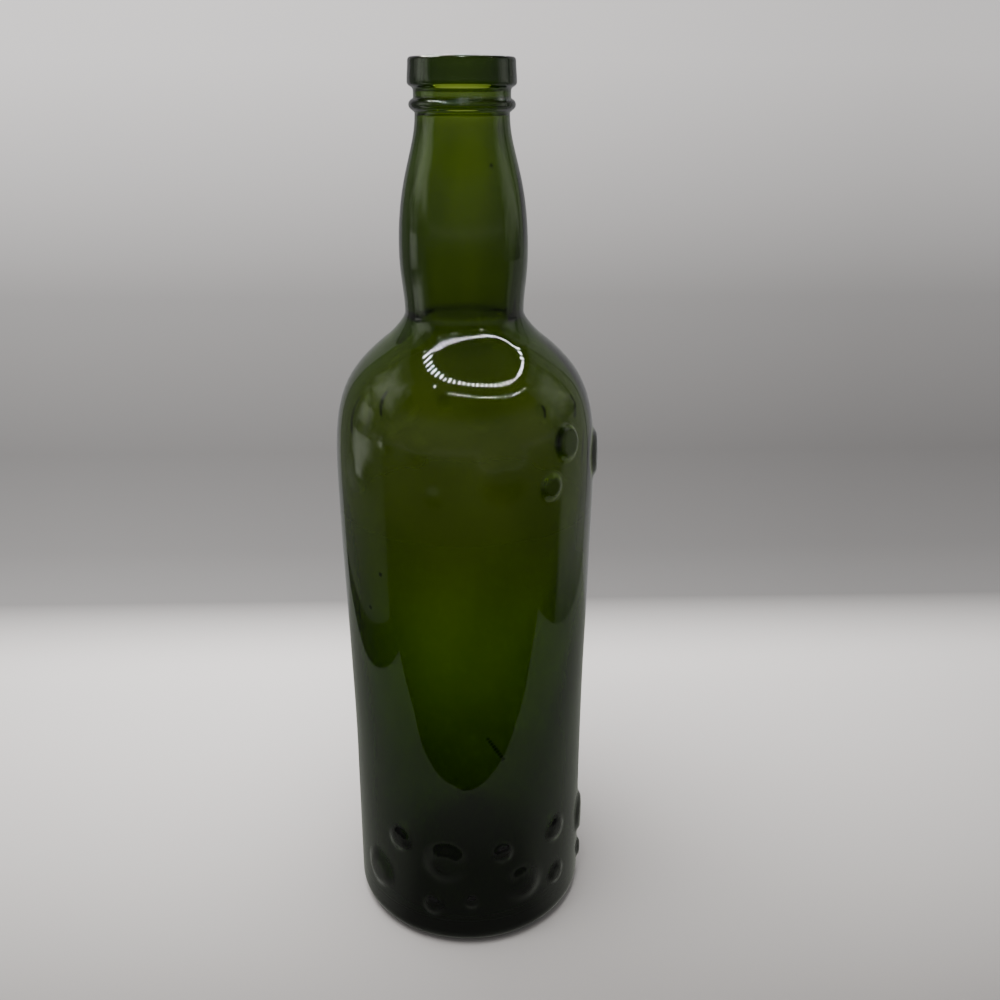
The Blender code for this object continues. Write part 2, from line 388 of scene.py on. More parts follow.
def strewn(band, count, taken, draw):
    """Bosses of the usual sizes, strewn over the back of a band without touching."""
    placed = list(taken)
    made = []
    for _ in range(STREW_TRIES):
        if len(made) == count:
            break
        diameter = BACK_SIZES[len(made) % len(BACK_SIZES)]
        edge = min(BOSS_EDGE, BOSS_EDGE_SHARE * diameter)
        candidate = (draw.uniform(*band), draw.uniform(BACK_FROM, BACK_TO), diameter, edge)
        if all(distance_round(candidate, other) > (diameter + other[2]) / 2 + BOSS_GAP for other in placed):
            placed.append(candidate)
            made.append(candidate)
    return made


def all_bosses():
    """Every boss as height, angle, diameter and the width of its soft edge."""
    draw = random.Random(STREW_SEED)
    shoulder = list(SHOULDER_BOSSES) + strewn(SHOULDER_BAND, SHOULDER_STREWN, SHOULDER_BOSSES, draw)
    base = list(BASE_BOSSES) + strewn(BASE_BAND, BASE_STREWN, BASE_BOSSES, draw)
    return shoulder + base


bosses = all_bosses()
print("bosses", len(bosses))

# %% [markdown]
# ## The glass shell
#
# A Screw modifier would turn the section, but the relief has to move single points
# afterwards. So the section is turned here as rings of points, which is the same
# thing, and every ring's points are then lifted by the bosses. Real glass is also
# never even: the inside, which only air shaped, ripples by a tenth of a millimetre
# or two, and that is what makes reflections in a bottle swim.

# %% Turn the section
TURN_STEPS = 380


def turned(section, steps):
    """The section's points turned about +Z, as a table of rings."""
    section = np.array(section)
    turn = np.linspace(0.0, math.tau, steps, endpoint=False)
    x = section[:, 0:1] * np.sin(turn)
    y = -section[:, 0:1] * np.cos(turn)
    z = np.repeat(section[:, 1:2], steps, axis=1)
    return np.stack([x, y, z], axis=2), turn


def ease(low, high, value):
    """0 below low, 1 above high, and smooth between."""
    t = np.clip((value - low) / (high - low), 0.0, 1.0)
    return t * t * (3.0 - 2.0 * t)


print("turning in", TURN_STEPS, "steps")

# %% [markdown]
# A boss could be a Displace modifier with a painted map, but a formula is exact and
# needs no image. Each boss has a height, an angle, a diameter and the width of its soft
# edge. A boss with a soft edge is pressed through to the inside as well, and one with a
# crisp edge is not. The ripple adds up a few waves with seeded lengths and phases.

# %% Relief and ripple
BOSS_RISE_BASE = 0.0008
BOSS_RISE_RATIO = 0.028
BOSS_CROWN = 0.35
CRISP_EDGE = 0.0018
SOFT_EDGE = 0.0034
FOLLOW_MOST = 0.85
DOME_SHARE = 0.45
DOME_RISE = 0.55
RIPPLE_WAVES = 14
RIPPLE_AROUND_MOST = 9
RIPPLE_UPWARD_MOST = 170.0


def relief(height, turn, inside=False):
    """How far the bosses lift a surface at each height and angle."""
    lift = np.zeros(np.broadcast(height, turn).shape)
    for middle, angle, diameter, edge in bosses:
        across = (turn - math.radians(angle) + math.pi) % math.tau - math.pi
        distance = np.hypot(across * BODY_RADIUS, height - middle)
        radius = diameter / 2
        rise = BOSS_RISE_BASE + BOSS_RISE_RATIO * diameter
        soft = float(ease(CRISP_EDGE, SOFT_EDGE, edge))
        if edge > DOME_SHARE * diameter:
            rise *= DOME_RISE
        if inside:
            rise *= FOLLOW_MOST * soft
        rim = ease(0.0, edge, radius - distance)
        crown = 1.0 - BOSS_CROWN * soft * np.clip(distance / radius, 0.0, 1.0) ** 2
        lift = np.maximum(lift, rise * rim * crown)
    return lift


def ripple(height, turn, strength, seed):
    """A slow unevenness: a sum of a few waves round and up the wall, the same each run."""
    draw = random.Random(seed)
    total = np.zeros(np.broadcast(height, turn).shape)
    for _ in range(RIPPLE_WAVES):
        around = draw.randint(1, RIPPLE_AROUND_MOST)
        upward = draw.uniform(-RIPPLE_UPWARD_MOST, RIPPLE_UPWARD_MOST)
        phase = draw.uniform(0.0, math.tau)
        total += np.sin(around * turn + upward * height + phase) / math.sqrt(RIPPLE_WAVES)
    return total * strength


widest = max(bosses, key=lambda boss: boss[2])
widest_lift = float(relief(np.array([[widest[0]]]), np.radians([[widest[1]]])).max())
print("lift at the middle of the widest boss in mm", round(widest_lift * 1000, 2))

# %% [markdown]
# The shell runs from the floor inside, up and over the lip, down the outside and in under
# the base, so it is one closed mesh and the light knows where the glass starts and ends.
# The mouth, the heel and the floor inside are kept calm. A used bottle also has a faint
# dull film inside that ends softly on the shoulder. How strong it is at each point is
# stored as an attribute of the mesh, which the material reads.

# %% Build the shell
OUTSIDE_RIPPLE = 0.00005
INSIDE_RIPPLE = 0.00016
OUTSIDE_SEED = 3
INSIDE_SEED = 4
HIDDEN_BASE_ROWS = 31
CALM_MOUTH_FROM = 0.024
CALM_MOUTH_TO = 0.016
CALM_FOOT_TOP = 0.010
SMALLEST_LIFT_RADIUS = 0.004
FILM_FULL = 0.140
FILM_TOP = 0.178


def shell_mesh():
    """One closed mesh: the inside, over the lip, the outside, and the underside."""
    rows, turn = turned(inside[1:] + outside + punt_outline()[:-1], TURN_STEPS)
    height = rows[:, :1, 2]
    radius = np.hypot(rows[:, :1, 0], rows[:, :1, 1])
    first_outside = len(inside) - 1
    last_outside = first_outside + len(outside)
    lift = np.zeros(rows.shape[:2])
    calm_mouth = 1.0 - ease(HEIGHT - CALM_MOUTH_FROM, HEIGHT - CALM_MOUTH_TO, height)
    calm_foot = ease(0.0, CALM_FOOT_TOP, height)
    out = slice(first_outside, last_outside)
    lift[out] = relief(height[out], turn[None, :])
    outside_ripple = ripple(height[out], turn[None, :], OUTSIDE_RIPPLE, OUTSIDE_SEED)
    lift[out] += outside_ripple * calm_mouth[out] * calm_foot[out]
    wall = slice(HIDDEN_BASE_ROWS, first_outside)
    lift[wall] = relief(height[wall], turn[None, :], inside=True)
    calm_inside = calm_mouth * ease(FOOT_TOP, 2 * FOOT_TOP, height)
    lift[wall] += ripple(height[wall], turn[None, :], INSIDE_RIPPLE, INSIDE_SEED) * calm_inside[wall]
    scale = 1.0 + lift / np.maximum(radius, SMALLEST_LIFT_RADIUS)
    rows[:, :, 0] *= scale
    rows[:, :, 1] *= scale
    count, steps = rows.shape[:2]
    index = np.arange(count * steps).reshape(count, steps)
    here, there = index[:-1], index[1:]
    quads = np.stack([here, np.roll(here, -1, 1), np.roll(there, -1, 1), there], 2).reshape(-1, 4)
    inner_apex = count * steps
    outer_apex = inner_apex + 1
    points = np.concatenate([rows.reshape(-1, 3), [[0, 0, inside[0][1]], [0, 0, PUNT_HEIGHT]]])
    fans = [(inner_apex, int(b), int(a)) for a, b in zip(index[0], np.roll(index[0], -1))]
    fans += [(outer_apex, int(a), int(b)) for a, b in zip(index[-1], np.roll(index[-1], -1))]
    mesh = bpy.data.meshes.new("bottle_glass")
    mesh.from_pydata(points.tolist(), [], quads.tolist() + fans)
    mesh.update()
    film = mesh.attributes.new("inside_film", "FLOAT", "POINT")
    strength = np.zeros((count, steps))
    strength[:first_outside] = 1.0 - ease(FILM_FULL, FILM_TOP, height[:first_outside])
    film.data.foreach_set("value", np.append(strength.ravel(), [1.0, 0.0]).astype(np.float32))
    return mesh


def outward(mesh):
    """Turn the faces so that they all look out of the glass."""
    shape = bmesh.new()
    shape.from_mesh(mesh)
    bmesh.ops.recalc_face_normals(shape, faces=shape.faces)
    shape.to_mesh(mesh)
    volume = shape.calc_volume()
    shape.free()
    return volume


glass_mesh = shell_mesh()
glass_volume = outward(glass_mesh)
glass_mesh.shade_smooth()
bottle_glass = bpy.data.objects.new("bottle_glass", glass_mesh)
bpy.context.scene.collection.objects.link(bottle_glass)
print("glass faces", len(glass_mesh.polygons), "volume", round(glass_volume * 1e6, 1), "ml")

# %% [markdown]
# ## Green glass
#
# Bottle glass is coloured all through by iron, so a thick place is darker than a
# thin one: the base is almost black and the lip is bright. A tinted surface cannot
# do that. The surface is left clear and a Volume Absorption shader takes the light
# away with depth. Fine ripple in the normal keeps the highlights from being ruled.

# %% Node helpers
def add(tree, kind, **settings):
    """A new node with the given settings."""
    node = tree.nodes.new(kind)
    for name, value in settings.items():
        setattr(node, name, value)
    return node


WARM = (0.965, 0.955)


def ramp_node(tree, stops, scale):
    """A colour ramp with its stops as place and colour, or place and a slightly warm grey."""
    ramp = add(tree, "ShaderNodeValToRGB")
    elements = ramp.color_ramp.elements
    while len(elements) < len(stops):
        elements.new(0.5)
    for element, (place, value) in zip(elements, stops):
        element.position = place / scale
        grey = isinstance(value, float)
        element.color = (value, value * WARM[0], value * WARM[1], 1.0) if grey else value
    return ramp


print("node helpers ready, warm grey", WARM)

# %% [markdown]
# Moulded glass has a slow waviness and, finer, a skin like orange peel. Both are noise,
# and both only bend the normal. The haze is a third noise, and the film inside is added
# to it. They are made in a node group, so its four values can be set in one place.

# %% The glass surface
PEEL_SHARE = 0.02
HAZE_CLOUD_SCALE = 60.0
SURFACE_VALUES = (("Ripple Scale", 40.0), ("Orange Peel Scale", 420.0), ("Haze", 0.02), ("Film", 0.30))


def glass_surface_group():
    """Noise at two scales as a height, and cloudy patches for the roughness."""
    group = bpy.data.node_groups.new("moulded_glass", "ShaderNodeTree")
    for name, start in SURFACE_VALUES:
        socket = group.interface.new_socket(name, in_out="INPUT", socket_type="NodeSocketFloat")
        socket.default_value = start
    group.interface.new_socket("Height", in_out="OUTPUT", socket_type="NodeSocketFloat")
    group.interface.new_socket("Roughness", in_out="OUTPUT", socket_type="NodeSocketFloat")
    inputs = add(group, "NodeGroupInput")
    outputs = add(group, "NodeGroupOutput")
    place = add(group, "ShaderNodeTexCoord")
    slow = add(group, "ShaderNodeTexNoise")
    fine = add(group, "ShaderNodeTexNoise")
    cloud = add(group, "ShaderNodeTexNoise")
    slow.inputs["Detail"].default_value = 1.0
    fine.inputs["Detail"].default_value = 2.0
    cloud.inputs["Scale"].default_value = HAZE_CLOUD_SCALE
    mix = add(group, "ShaderNodeMath", operation="MULTIPLY_ADD")
    mix.inputs[1].default_value = PEEL_SHARE
    haze = add(group, "ShaderNodeMath", operation="MULTIPLY")
    links = group.links
    for noise in (slow, fine, cloud):
        links.new(place.outputs["Object"], noise.inputs["Vector"])
    links.new(inputs.outputs["Ripple Scale"], slow.inputs["Scale"])
    links.new(inputs.outputs["Orange Peel Scale"], fine.inputs["Scale"])
    links.new(fine.outputs["Fac"], mix.inputs[0])
    links.new(slow.outputs["Fac"], mix.inputs[2])
    links.new(mix.outputs[0], outputs.inputs["Height"])
    links.new(cloud.outputs["Fac"], haze.inputs[0])
    links.new(inputs.outputs["Haze"], haze.inputs[1])
    film = add(group, "ShaderNodeAttribute", attribute_name="inside_film")
    dull = add(group, "ShaderNodeMath", operation="MULTIPLY_ADD")
    links.new(film.outputs["Fac"], dull.inputs[0])
    links.new(inputs.outputs["Film"], dull.inputs[1])
    links.new(haze.outputs[0], dull.inputs[2])
    links.new(dull.outputs[0], outputs.inputs["Roughness"])
    return group


moulded_glass = glass_surface_group()
print("node group", moulded_glass.name)

# %% [markdown]
# Three small dark specks sit in the glass, and one short dark flow mark runs down the
# front. They could be tiny pieces of their own, but they are part of the glass, so they
# darken its colour at their places. Everything else is the plain clear surface with the
# absorbing volume behind it.

# %% The glass material
GLASS_IOR = 1.52
BUMP_STRENGTH = 0.15
BUMP_DISTANCE = 0.0006
ABSORPTION_COLOR = (0.58, 0.665, 0.18, 1.0)
ABSORPTION_DENSITY = 1000.0
SPECKS = (
    (-0.026, -0.031, 0.136, 0.0007),
    (-0.030, -0.027, 0.123, 0.0007),
    (0.008, -0.014, 0.252, 0.0006),
)
FLOW_MARK = ((0.0060, -0.0392, 0.0825), (0.0108, -0.0379, 0.0742))
FLOW_MARK_STEPS = 9
FLOW_MARK_RADIUS = 0.0007
SPECK_DARK = 0.10
SPECK_CORE = 0.5
SPECK_HALO = 1.6


def speck_mask(tree):
    """A value that is 1 on clear glass and falls to dark at each small speck and along one flow mark."""
    place = add(tree, "ShaderNodeTexCoord")
    first, last = (Vector(end) for end in FLOW_MARK)
    dots = list(SPECKS)
    for i in range(FLOW_MARK_STEPS):
        dots.append((*first.lerp(last, i / (FLOW_MARK_STEPS - 1)), FLOW_MARK_RADIUS))
    clear = None
    for x, y, z, radius in dots:
        away = add(tree, "ShaderNodeVectorMath", operation="DISTANCE")
        away.inputs[1].default_value = (x, y, z)
        tree.links.new(place.outputs["Object"], away.inputs[0])
        fade = add(tree, "ShaderNodeMapRange", interpolation_type="SMOOTHSTEP")
        fade.inputs["From Min"].default_value = radius * SPECK_CORE
        fade.inputs["From Max"].default_value = radius * SPECK_HALO
        fade.inputs["To Min"].default_value = SPECK_DARK
        tree.links.new(away.outputs["Value"], fade.inputs["Value"])
        if clear is None:
            clear = fade.outputs["Result"]
            continue
        both = add(tree, "ShaderNodeMath", operation="MINIMUM")
        tree.links.new(clear, both.inputs[0])
        tree.links.new(fade.outputs["Result"], both.inputs[1])
        clear = both.outputs[0]
    return clear


def green_glass():
    """Clear at the surface, olive green in the depth."""
    material = bpy.data.materials.new("green_glass")
    material.use_nodes = True
    tree = material.node_tree
    shader = tree.nodes["Principled BSDF"]
    shader.inputs["Base Color"].default_value = (1.0, 1.0, 1.0, 1.0)
    shader.inputs["Metallic"].default_value = 0.0
    shader.inputs["IOR"].default_value = GLASS_IOR
    shader.inputs["Transmission Weight"].default_value = 1.0
    surface = add(tree, "ShaderNodeGroup", node_tree=moulded_glass)
    bump = add(tree, "ShaderNodeBump")
    bump.inputs["Strength"].default_value = BUMP_STRENGTH
    bump.inputs["Distance"].default_value = BUMP_DISTANCE
    volume = add(tree, "ShaderNodeVolumeAbsorption")
    volume.inputs["Color"].default_value = ABSORPTION_COLOR
    volume.inputs["Density"].default_value = ABSORPTION_DENSITY
    links = tree.links
    links.new(surface.outputs["Height"], bump.inputs["Height"])
    links.new(bump.outputs["Normal"], shader.inputs["Normal"])
    links.new(surface.outputs["Roughness"], shader.inputs["Roughness"])
    links.new(speck_mask(tree), shader.inputs["Base Color"])
    links.new(volume.outputs["Volume"], tree.nodes["Material Output"].inputs["Volume"])
    return material


glass = green_glass()
glass_mesh.materials.append(glass)
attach(bottle_glass, "root")
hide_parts("bottle")
print("glass on", bottle_glass.name)

# %% [markdown]
# ## The studio
#
# Glass shows its surroundings more than itself. A bottle in a small white tent with
# an open front shows the pale floor and back through its glass, a soft grey veil from
# the sides on its flanks, and a clean middle from the dark front. An image of a room
# could give such reflections, but each part of them could not be moved. So the world
# has two backgrounds: a pale one for sight and soft light, and a darker one, made of
# grey levels by height, that is only met by reflected rays.

# %% World
WALL_TOP = (0.50, 0.49, 0.48, 1.0)
WALL_LOW = (0.25, 0.25, 0.25, 1.0)
WALL_LOW_AT = 0.30
WALL_TOP_AT = 0.56
ROOM_GLOW = ((0.22, 0.02), (0.34, 0.09), (0.42, 0.10), (0.47, 0.16), (0.50, 0.30),
             (0.53, 0.20), (0.66, 0.20), (0.80, 0.05), (0.88, 0.05), (0.95, 0.10))


def make_world():
    """Pale round about for sight and soft light, dark in front for reflections."""
    world = bpy.data.worlds.new("tent")
    world.use_nodes = True
    bpy.context.scene.world = world
    tree = world.node_tree
    links = tree.links
    back = tree.nodes["Background"]
    place = add(tree, "ShaderNodeTexCoord")
    split = add(tree, "ShaderNodeSeparateXYZ")
    ramp = add(tree, "ShaderNodeValToRGB")
    ramp.color_ramp.interpolation = "EASE"
    ramp.color_ramp.elements[0].position = WALL_LOW_AT
    ramp.color_ramp.elements[0].color = WALL_LOW
    ramp.color_ramp.elements[1].position = WALL_TOP_AT
    ramp.color_ramp.elements[1].color = WALL_TOP
    shift = add(tree, "ShaderNodeMath", operation="MULTIPLY_ADD")
    shift.inputs[1].default_value = 0.5
    shift.inputs[2].default_value = 0.5
    links.new(place.outputs["Generated"], split.inputs[0])
    links.new(split.outputs["Z"], shift.inputs[0])
    links.new(shift.outputs[0], ramp.inputs["Fac"])
    path = add(tree, "ShaderNodeLightPath")
    dark = add(tree, "ShaderNodeBackground")
    front = ramp_node(tree, ROOM_GLOW, 1.0)
    links.new(shift.outputs[0], front.inputs["Fac"])
    links.new(front.outputs["Color"], dark.inputs["Color"])
    mix = add(tree, "ShaderNodeMixShader")
    links.new(ramp.outputs["Color"], back.inputs["Color"])
    through = add(tree, "ShaderNodeMath", operation="SUBTRACT", use_clamp=True)
    links.new(path.outputs["Is Glossy Ray"], through.inputs[0])
    links.new(path.outputs["Is Transmission Ray"], through.inputs[1])
    links.new(through.outputs[0], mix.inputs["Fac"])
    links.new(back.outputs[0], mix.inputs[1])
    links.new(dark.outputs[0], mix.inputs[2])
    links.new(mix.outputs[0], tree.nodes["World Output"].inputs["Surface"])


make_world()
print("world with", len(ROOM_GLOW), "grey levels for reflections")

# %% [markdown]
# The tent is one sheet: a floor that sweeps up into four walls. It is clear when it is
# seen from outside, so every view can look in. The floor takes the lamps' light, and a
# painted shade in its colour makes it darker towards the front. The walls glow softly by
# height, since cloth with lamps behind it does the same, and real lamps behind cloth would
# need far more samples.

# %% The tent
TENT_BACK_WALL = 0.19
TENT_FRONT_WALL = -0.42
TENT_SIDE_WALL = 0.36
TENT_SWEEP = 0.045
TENT_CORNER = 0.07
TENT_WALL_TOP = 0.90
# The floor's colour carries a painted shade: dark at the front, pale at the back.
FLOOR_PAINTED_SHADE_FRONT = (0.125, 0.122, 0.119, 1.0)
FLOOR_UNSHADED_BACK = (0.80, 0.79, 0.785, 1.0)
FLOOR_SHADE_DARKEST_AT = -0.11
FLOOR_SHADE_GONE_AT = 0.14
CLOTH_ALBEDO = (0.06, 0.06, 0.06, 1.0)
CLOTH_FROM = 0.02
CLOTH_ROUGHNESS = 0.9
CLOTH_SHINE = 0.1
WALL_GLOW = ((0.0, 0.0), (0.020, 0.30), (0.047, 0.24), (0.10, 0.17), (0.178, 0.28),
             (0.284, 0.80), (0.50, 1.0))
WALL_GLOW_TOP = 0.5
SLANT_REACH = 0.20
SLANT_LEFT = 1.22
SLANT_RIGHT = 0.82
SWEEP_STEPS = 12
CORNER_STEPS = 12
SMALLEST_CORNER = 0.01
SHARP_ANGLE = 40.0


def rounded_rectangle(inset, steps):
    """Points round the tent's plan, moved in from its walls."""
    half_x = TENT_SIDE_WALL - inset
    low_y, high_y = TENT_FRONT_WALL + inset, TENT_BACK_WALL - inset
    corner = max(TENT_CORNER - inset, SMALLEST_CORNER)
    points = []
    for number, (x, y) in enumerate(((half_x, high_y), (-half_x, high_y), (-half_x, low_y), (half_x, low_y))):
        middle = (x - math.copysign(corner, x), y - corner if number < 2 else y + corner)
        for i in range(steps + 1):
            angle = math.radians(90.0 * number + 90.0 * i / steps)
            points.append((middle[0] + corner * math.cos(angle), middle[1] + corner * math.sin(angle)))
    return points


def tent_material():
    """Pale cloth: the floor takes the lamp's light and has a painted shade towards the front, and the walls
    glow softly, more so higher up.
    """
    material = bpy.data.materials.new("tent_cloth")
    material.use_nodes = True
    tree = material.node_tree
    links = tree.links
    shader = tree.nodes["Principled BSDF"]
    shader.inputs["Roughness"].default_value = CLOTH_ROUGHNESS
    shader.inputs["Specular IOR Level"].default_value = CLOTH_SHINE
    place = add(tree, "ShaderNodeTexCoord")
    split = add(tree, "ShaderNodeSeparateXYZ")
    links.new(place.outputs["Object"], split.inputs[0])
    # Painted shade: the floor's colour darkens towards the front.
    depth = add(tree, "ShaderNodeMapRange")
    depth.inputs["From Min"].default_value = FLOOR_SHADE_DARKEST_AT
    depth.inputs["From Max"].default_value = FLOOR_SHADE_GONE_AT
    links.new(split.outputs["Y"], depth.inputs["Value"])
    floor_shade_ramp = ramp_node(tree, ((0.0, FLOOR_PAINTED_SHADE_FRONT), (1.0, FLOOR_UNSHADED_BACK)), 1.0)
    links.new(depth.outputs["Result"], floor_shade_ramp.inputs["Fac"])
    rise = add(tree, "ShaderNodeMapRange")
    rise.inputs["From Max"].default_value = CLOTH_FROM
    links.new(split.outputs["Z"], rise.inputs["Value"])
    cloth = add(tree, "ShaderNodeMix", data_type="RGBA")
    cloth.inputs["B"].default_value = CLOTH_ALBEDO
    links.new(rise.outputs["Result"], cloth.inputs["Factor"])
    links.new(floor_shade_ramp.outputs["Color"], cloth.inputs["A"])
    links.new(cloth.outputs["Result"], shader.inputs["Base Color"])
    glow_by_height = ramp_node(tree, WALL_GLOW, WALL_GLOW_TOP)
    scaled = add(tree, "ShaderNodeMath", operation="MULTIPLY")
    scaled.inputs[1].default_value = 1.0 / WALL_GLOW_TOP
    links.new(split.outputs["Z"], scaled.inputs[0])
    links.new(scaled.outputs[0], glow_by_height.inputs["Fac"])
    slant = add(tree, "ShaderNodeMapRange")
    slant.inputs["From Min"].default_value = -SLANT_REACH
    slant.inputs["From Max"].default_value = SLANT_REACH
    slant.inputs["To Min"].default_value = SLANT_LEFT
    slant.inputs["To Max"].default_value = SLANT_RIGHT
    links.new(split.outputs["X"], slant.inputs["Value"])
    links.new(glow_by_height.outputs["Color"], shader.inputs["Emission Color"])
    links.new(slant.outputs["Result"], shader.inputs["Emission Strength"])
    side = add(tree, "ShaderNodeNewGeometry")
    clear = add(tree, "ShaderNodeBsdfTransparent")
    mix = add(tree, "ShaderNodeMixShader")
    links.new(side.outputs["Backfacing"], mix.inputs["Fac"])
    links.new(shader.outputs[0], mix.inputs[1])
    links.new(clear.outputs[0], mix.inputs[2])
    links.new(mix.outputs[0], tree.nodes["Material Output"].inputs["Surface"])
    material.cycles.emission_sampling = "NONE"
    return material


def make_tent():
    """A pale floor that sweeps up into four walls."""
    shape = bmesh.new()
    levels = []
    for i in range(SWEEP_STEPS + 1):
        angle = math.radians(90.0 * i / SWEEP_STEPS)
        levels.append((TENT_SWEEP * (1 - math.sin(angle)), TENT_SWEEP * (1 - math.cos(angle))))
    levels.append((0.0, TENT_WALL_TOP))
    rings = []
    for inset, z in levels:
        rings.append([shape.verts.new((x, y, z)) for x, y in rounded_rectangle(inset, CORNER_STEPS)])
    shape.faces.new(rings[0])
    for lower, upper in zip(rings, rings[1:]):
        for i in range(len(lower)):
            j = (i + 1) % len(lower)
            shape.faces.new((lower[j], lower[i], upper[i], upper[j]))
    bmesh.ops.recalc_face_normals(shape, faces=shape.faces)
    floor_face = max(shape.faces, key=lambda face: face.calc_area() if abs(face.normal.z) > 0.9 else 0.0)
    if floor_face.normal.z < 0:
        bmesh.ops.reverse_faces(shape, faces=shape.faces)
    mesh = bpy.data.meshes.new("floor")
    shape.to_mesh(mesh)
    shape.free()
    mesh.shade_smooth()
    mesh.set_sharp_from_angle(angle=math.radians(SHARP_ANGLE))
    tent = bpy.data.objects.new("floor", mesh)
    bpy.context.scene.collection.objects.link(tent)
    mesh.materials.append(tent_material())
    return tent


tent = make_tent()
print("tent faces", len(tent.data.polygons))

# %% [markdown]
# Photographers place cards round glass to draw its form. These cards are seen only as
# reflections, so no view is blocked by them. Two side cards make the veils on the
# flanks, a back card and a floor card light the bottle's edges, and small brighter
# patches make the pale spots on the shoulder. A card with hard edges would leave hard
# lines on the glass, so the upright side cards fade towards their edges.

# %% Cards that only reflect
def glow(name, color, strength):
    """A plain light-giving surface."""
    material = bpy.data.materials.new(name)
    material.use_nodes = True
    tree = material.node_tree
    tree.nodes.clear()
    shader = add(tree, "ShaderNodeEmission")
    shader.inputs["Color"].default_value = color
    shader.inputs["Strength"].default_value = strength
    output = add(tree, "ShaderNodeOutputMaterial")
    tree.links.new(shader.outputs[0], output.inputs["Surface"])
    material.cycles.emission_sampling = "NONE"
    return material


def reflect_only(thing):
    """Keep a card out of sight: it is only seen as a reflection."""
    thing.visible_camera = False
    thing.visible_diffuse = False
    thing.visible_transmission = False
    thing.visible_shadow = False
    thing.visible_volume_scatter = False


CARD_RIM = 0.16
CARD_CLOUD_SCALE = 30.0


def soften(material, softness, strength):
    """Let an upright side card fade towards its four edges, unevenly.

    The rim keeps a little light, so that a patch in front of a larger card
    has no dark line round it.
    """
    tree = material.node_tree
    links = tree.links
    place = add(tree, "ShaderNodeTexCoord")
    middle = add(tree, "ShaderNodeVectorMath", operation="SUBTRACT")
    middle.inputs[1].default_value = (0.5, 0.5, 0.5)
    links.new(place.outputs["Generated"], middle.inputs[0])
    away = add(tree, "ShaderNodeVectorMath", operation="ABSOLUTE")
    links.new(middle.outputs[0], away.inputs[0])
    split = add(tree, "ShaderNodeSeparateXYZ")
    links.new(away.outputs[0], split.inputs[0])
    farthest = add(tree, "ShaderNodeMath", operation="MAXIMUM")
    links.new(split.outputs["Y"], farthest.inputs[0])
    links.new(split.outputs["Z"], farthest.inputs[1])
    cloud = add(tree, "ShaderNodeTexNoise")
    cloud.inputs["Scale"].default_value = CARD_CLOUD_SCALE
    links.new(place.outputs["Object"], cloud.inputs["Vector"])
    uneven = add(tree, "ShaderNodeMath", operation="MULTIPLY_ADD")
    uneven.inputs[1].default_value = softness
    links.new(cloud.outputs["Fac"], uneven.inputs[0])
    links.new(farthest.outputs[0], uneven.inputs[2])
    fade = add(tree, "ShaderNodeMapRange", interpolation_type="SMOOTHSTEP")
    fade.inputs["From Min"].default_value = 0.5
    fade.inputs["From Max"].default_value = 0.5 + softness
    fade.inputs["To Min"].default_value = strength
    fade.inputs["To Max"].default_value = min(CARD_RIM, strength)
    shift = add(tree, "ShaderNodeMath", operation="ADD")
    shift.inputs[1].default_value = softness * 0.5
    links.new(uneven.outputs[0], shift.inputs[0])
    links.new(shift.outputs[0], fade.inputs["Value"])
    links.new(fade.outputs["Result"], tree.nodes["Emission"].inputs["Strength"])


def card(name, low, high, color, strength, softness=0.0):
    """An upright or lying rectangle between two corners that share one coordinate."""
    low, high = Vector(low), Vector(high)
    flat = min(range(3), key=lambda k: abs(high[k] - low[k]))
    a, b = [k for k in range(3) if k != flat]
    corners = []
    for s, t in ((0, 0), (1, 0), (1, 1), (0, 1)):
        point = low.copy()
        point[a] = (low[a], high[a])[s]
        point[b] = (low[b], high[b])[t]
        corners.append(point)
    thing = flat_card(name, corners, color, strength)
    if softness > 0.0:
        soften(thing.data.materials[0], softness, strength)
    return thing


def flat_card(name, corners, color, strength):
    """A flat card with the given corners."""
    mesh = bpy.data.meshes.new(name)
    mesh.from_pydata(corners, [], [tuple(range(len(corners)))])
    mesh.materials.append(glow(name, color, strength))
    thing = bpy.data.objects.new(name, mesh)
    bpy.context.scene.collection.objects.link(thing)
    reflect_only(thing)
    return thing


print("cards fade to", CARD_RIM)

# %% [markdown]
# The floor card stands for the pale floor's reflection low on the body. Its front edge
# is not straight: its corners were found by tracing the edge of that reflection back
# from the glass to the floor. Near the bottle the floor lies in its shadow, so the card
# is darker there.

# %% The floor card and the side cards
NEAR_FROM = 0.070
NEAR_TO = 0.130
BESIDE_FROM = 0.55
BESIDE_TO = 0.90
CARD_FAR = 0.28
CARD_AHEAD = 0.14
CARD_BESIDE = 0.27


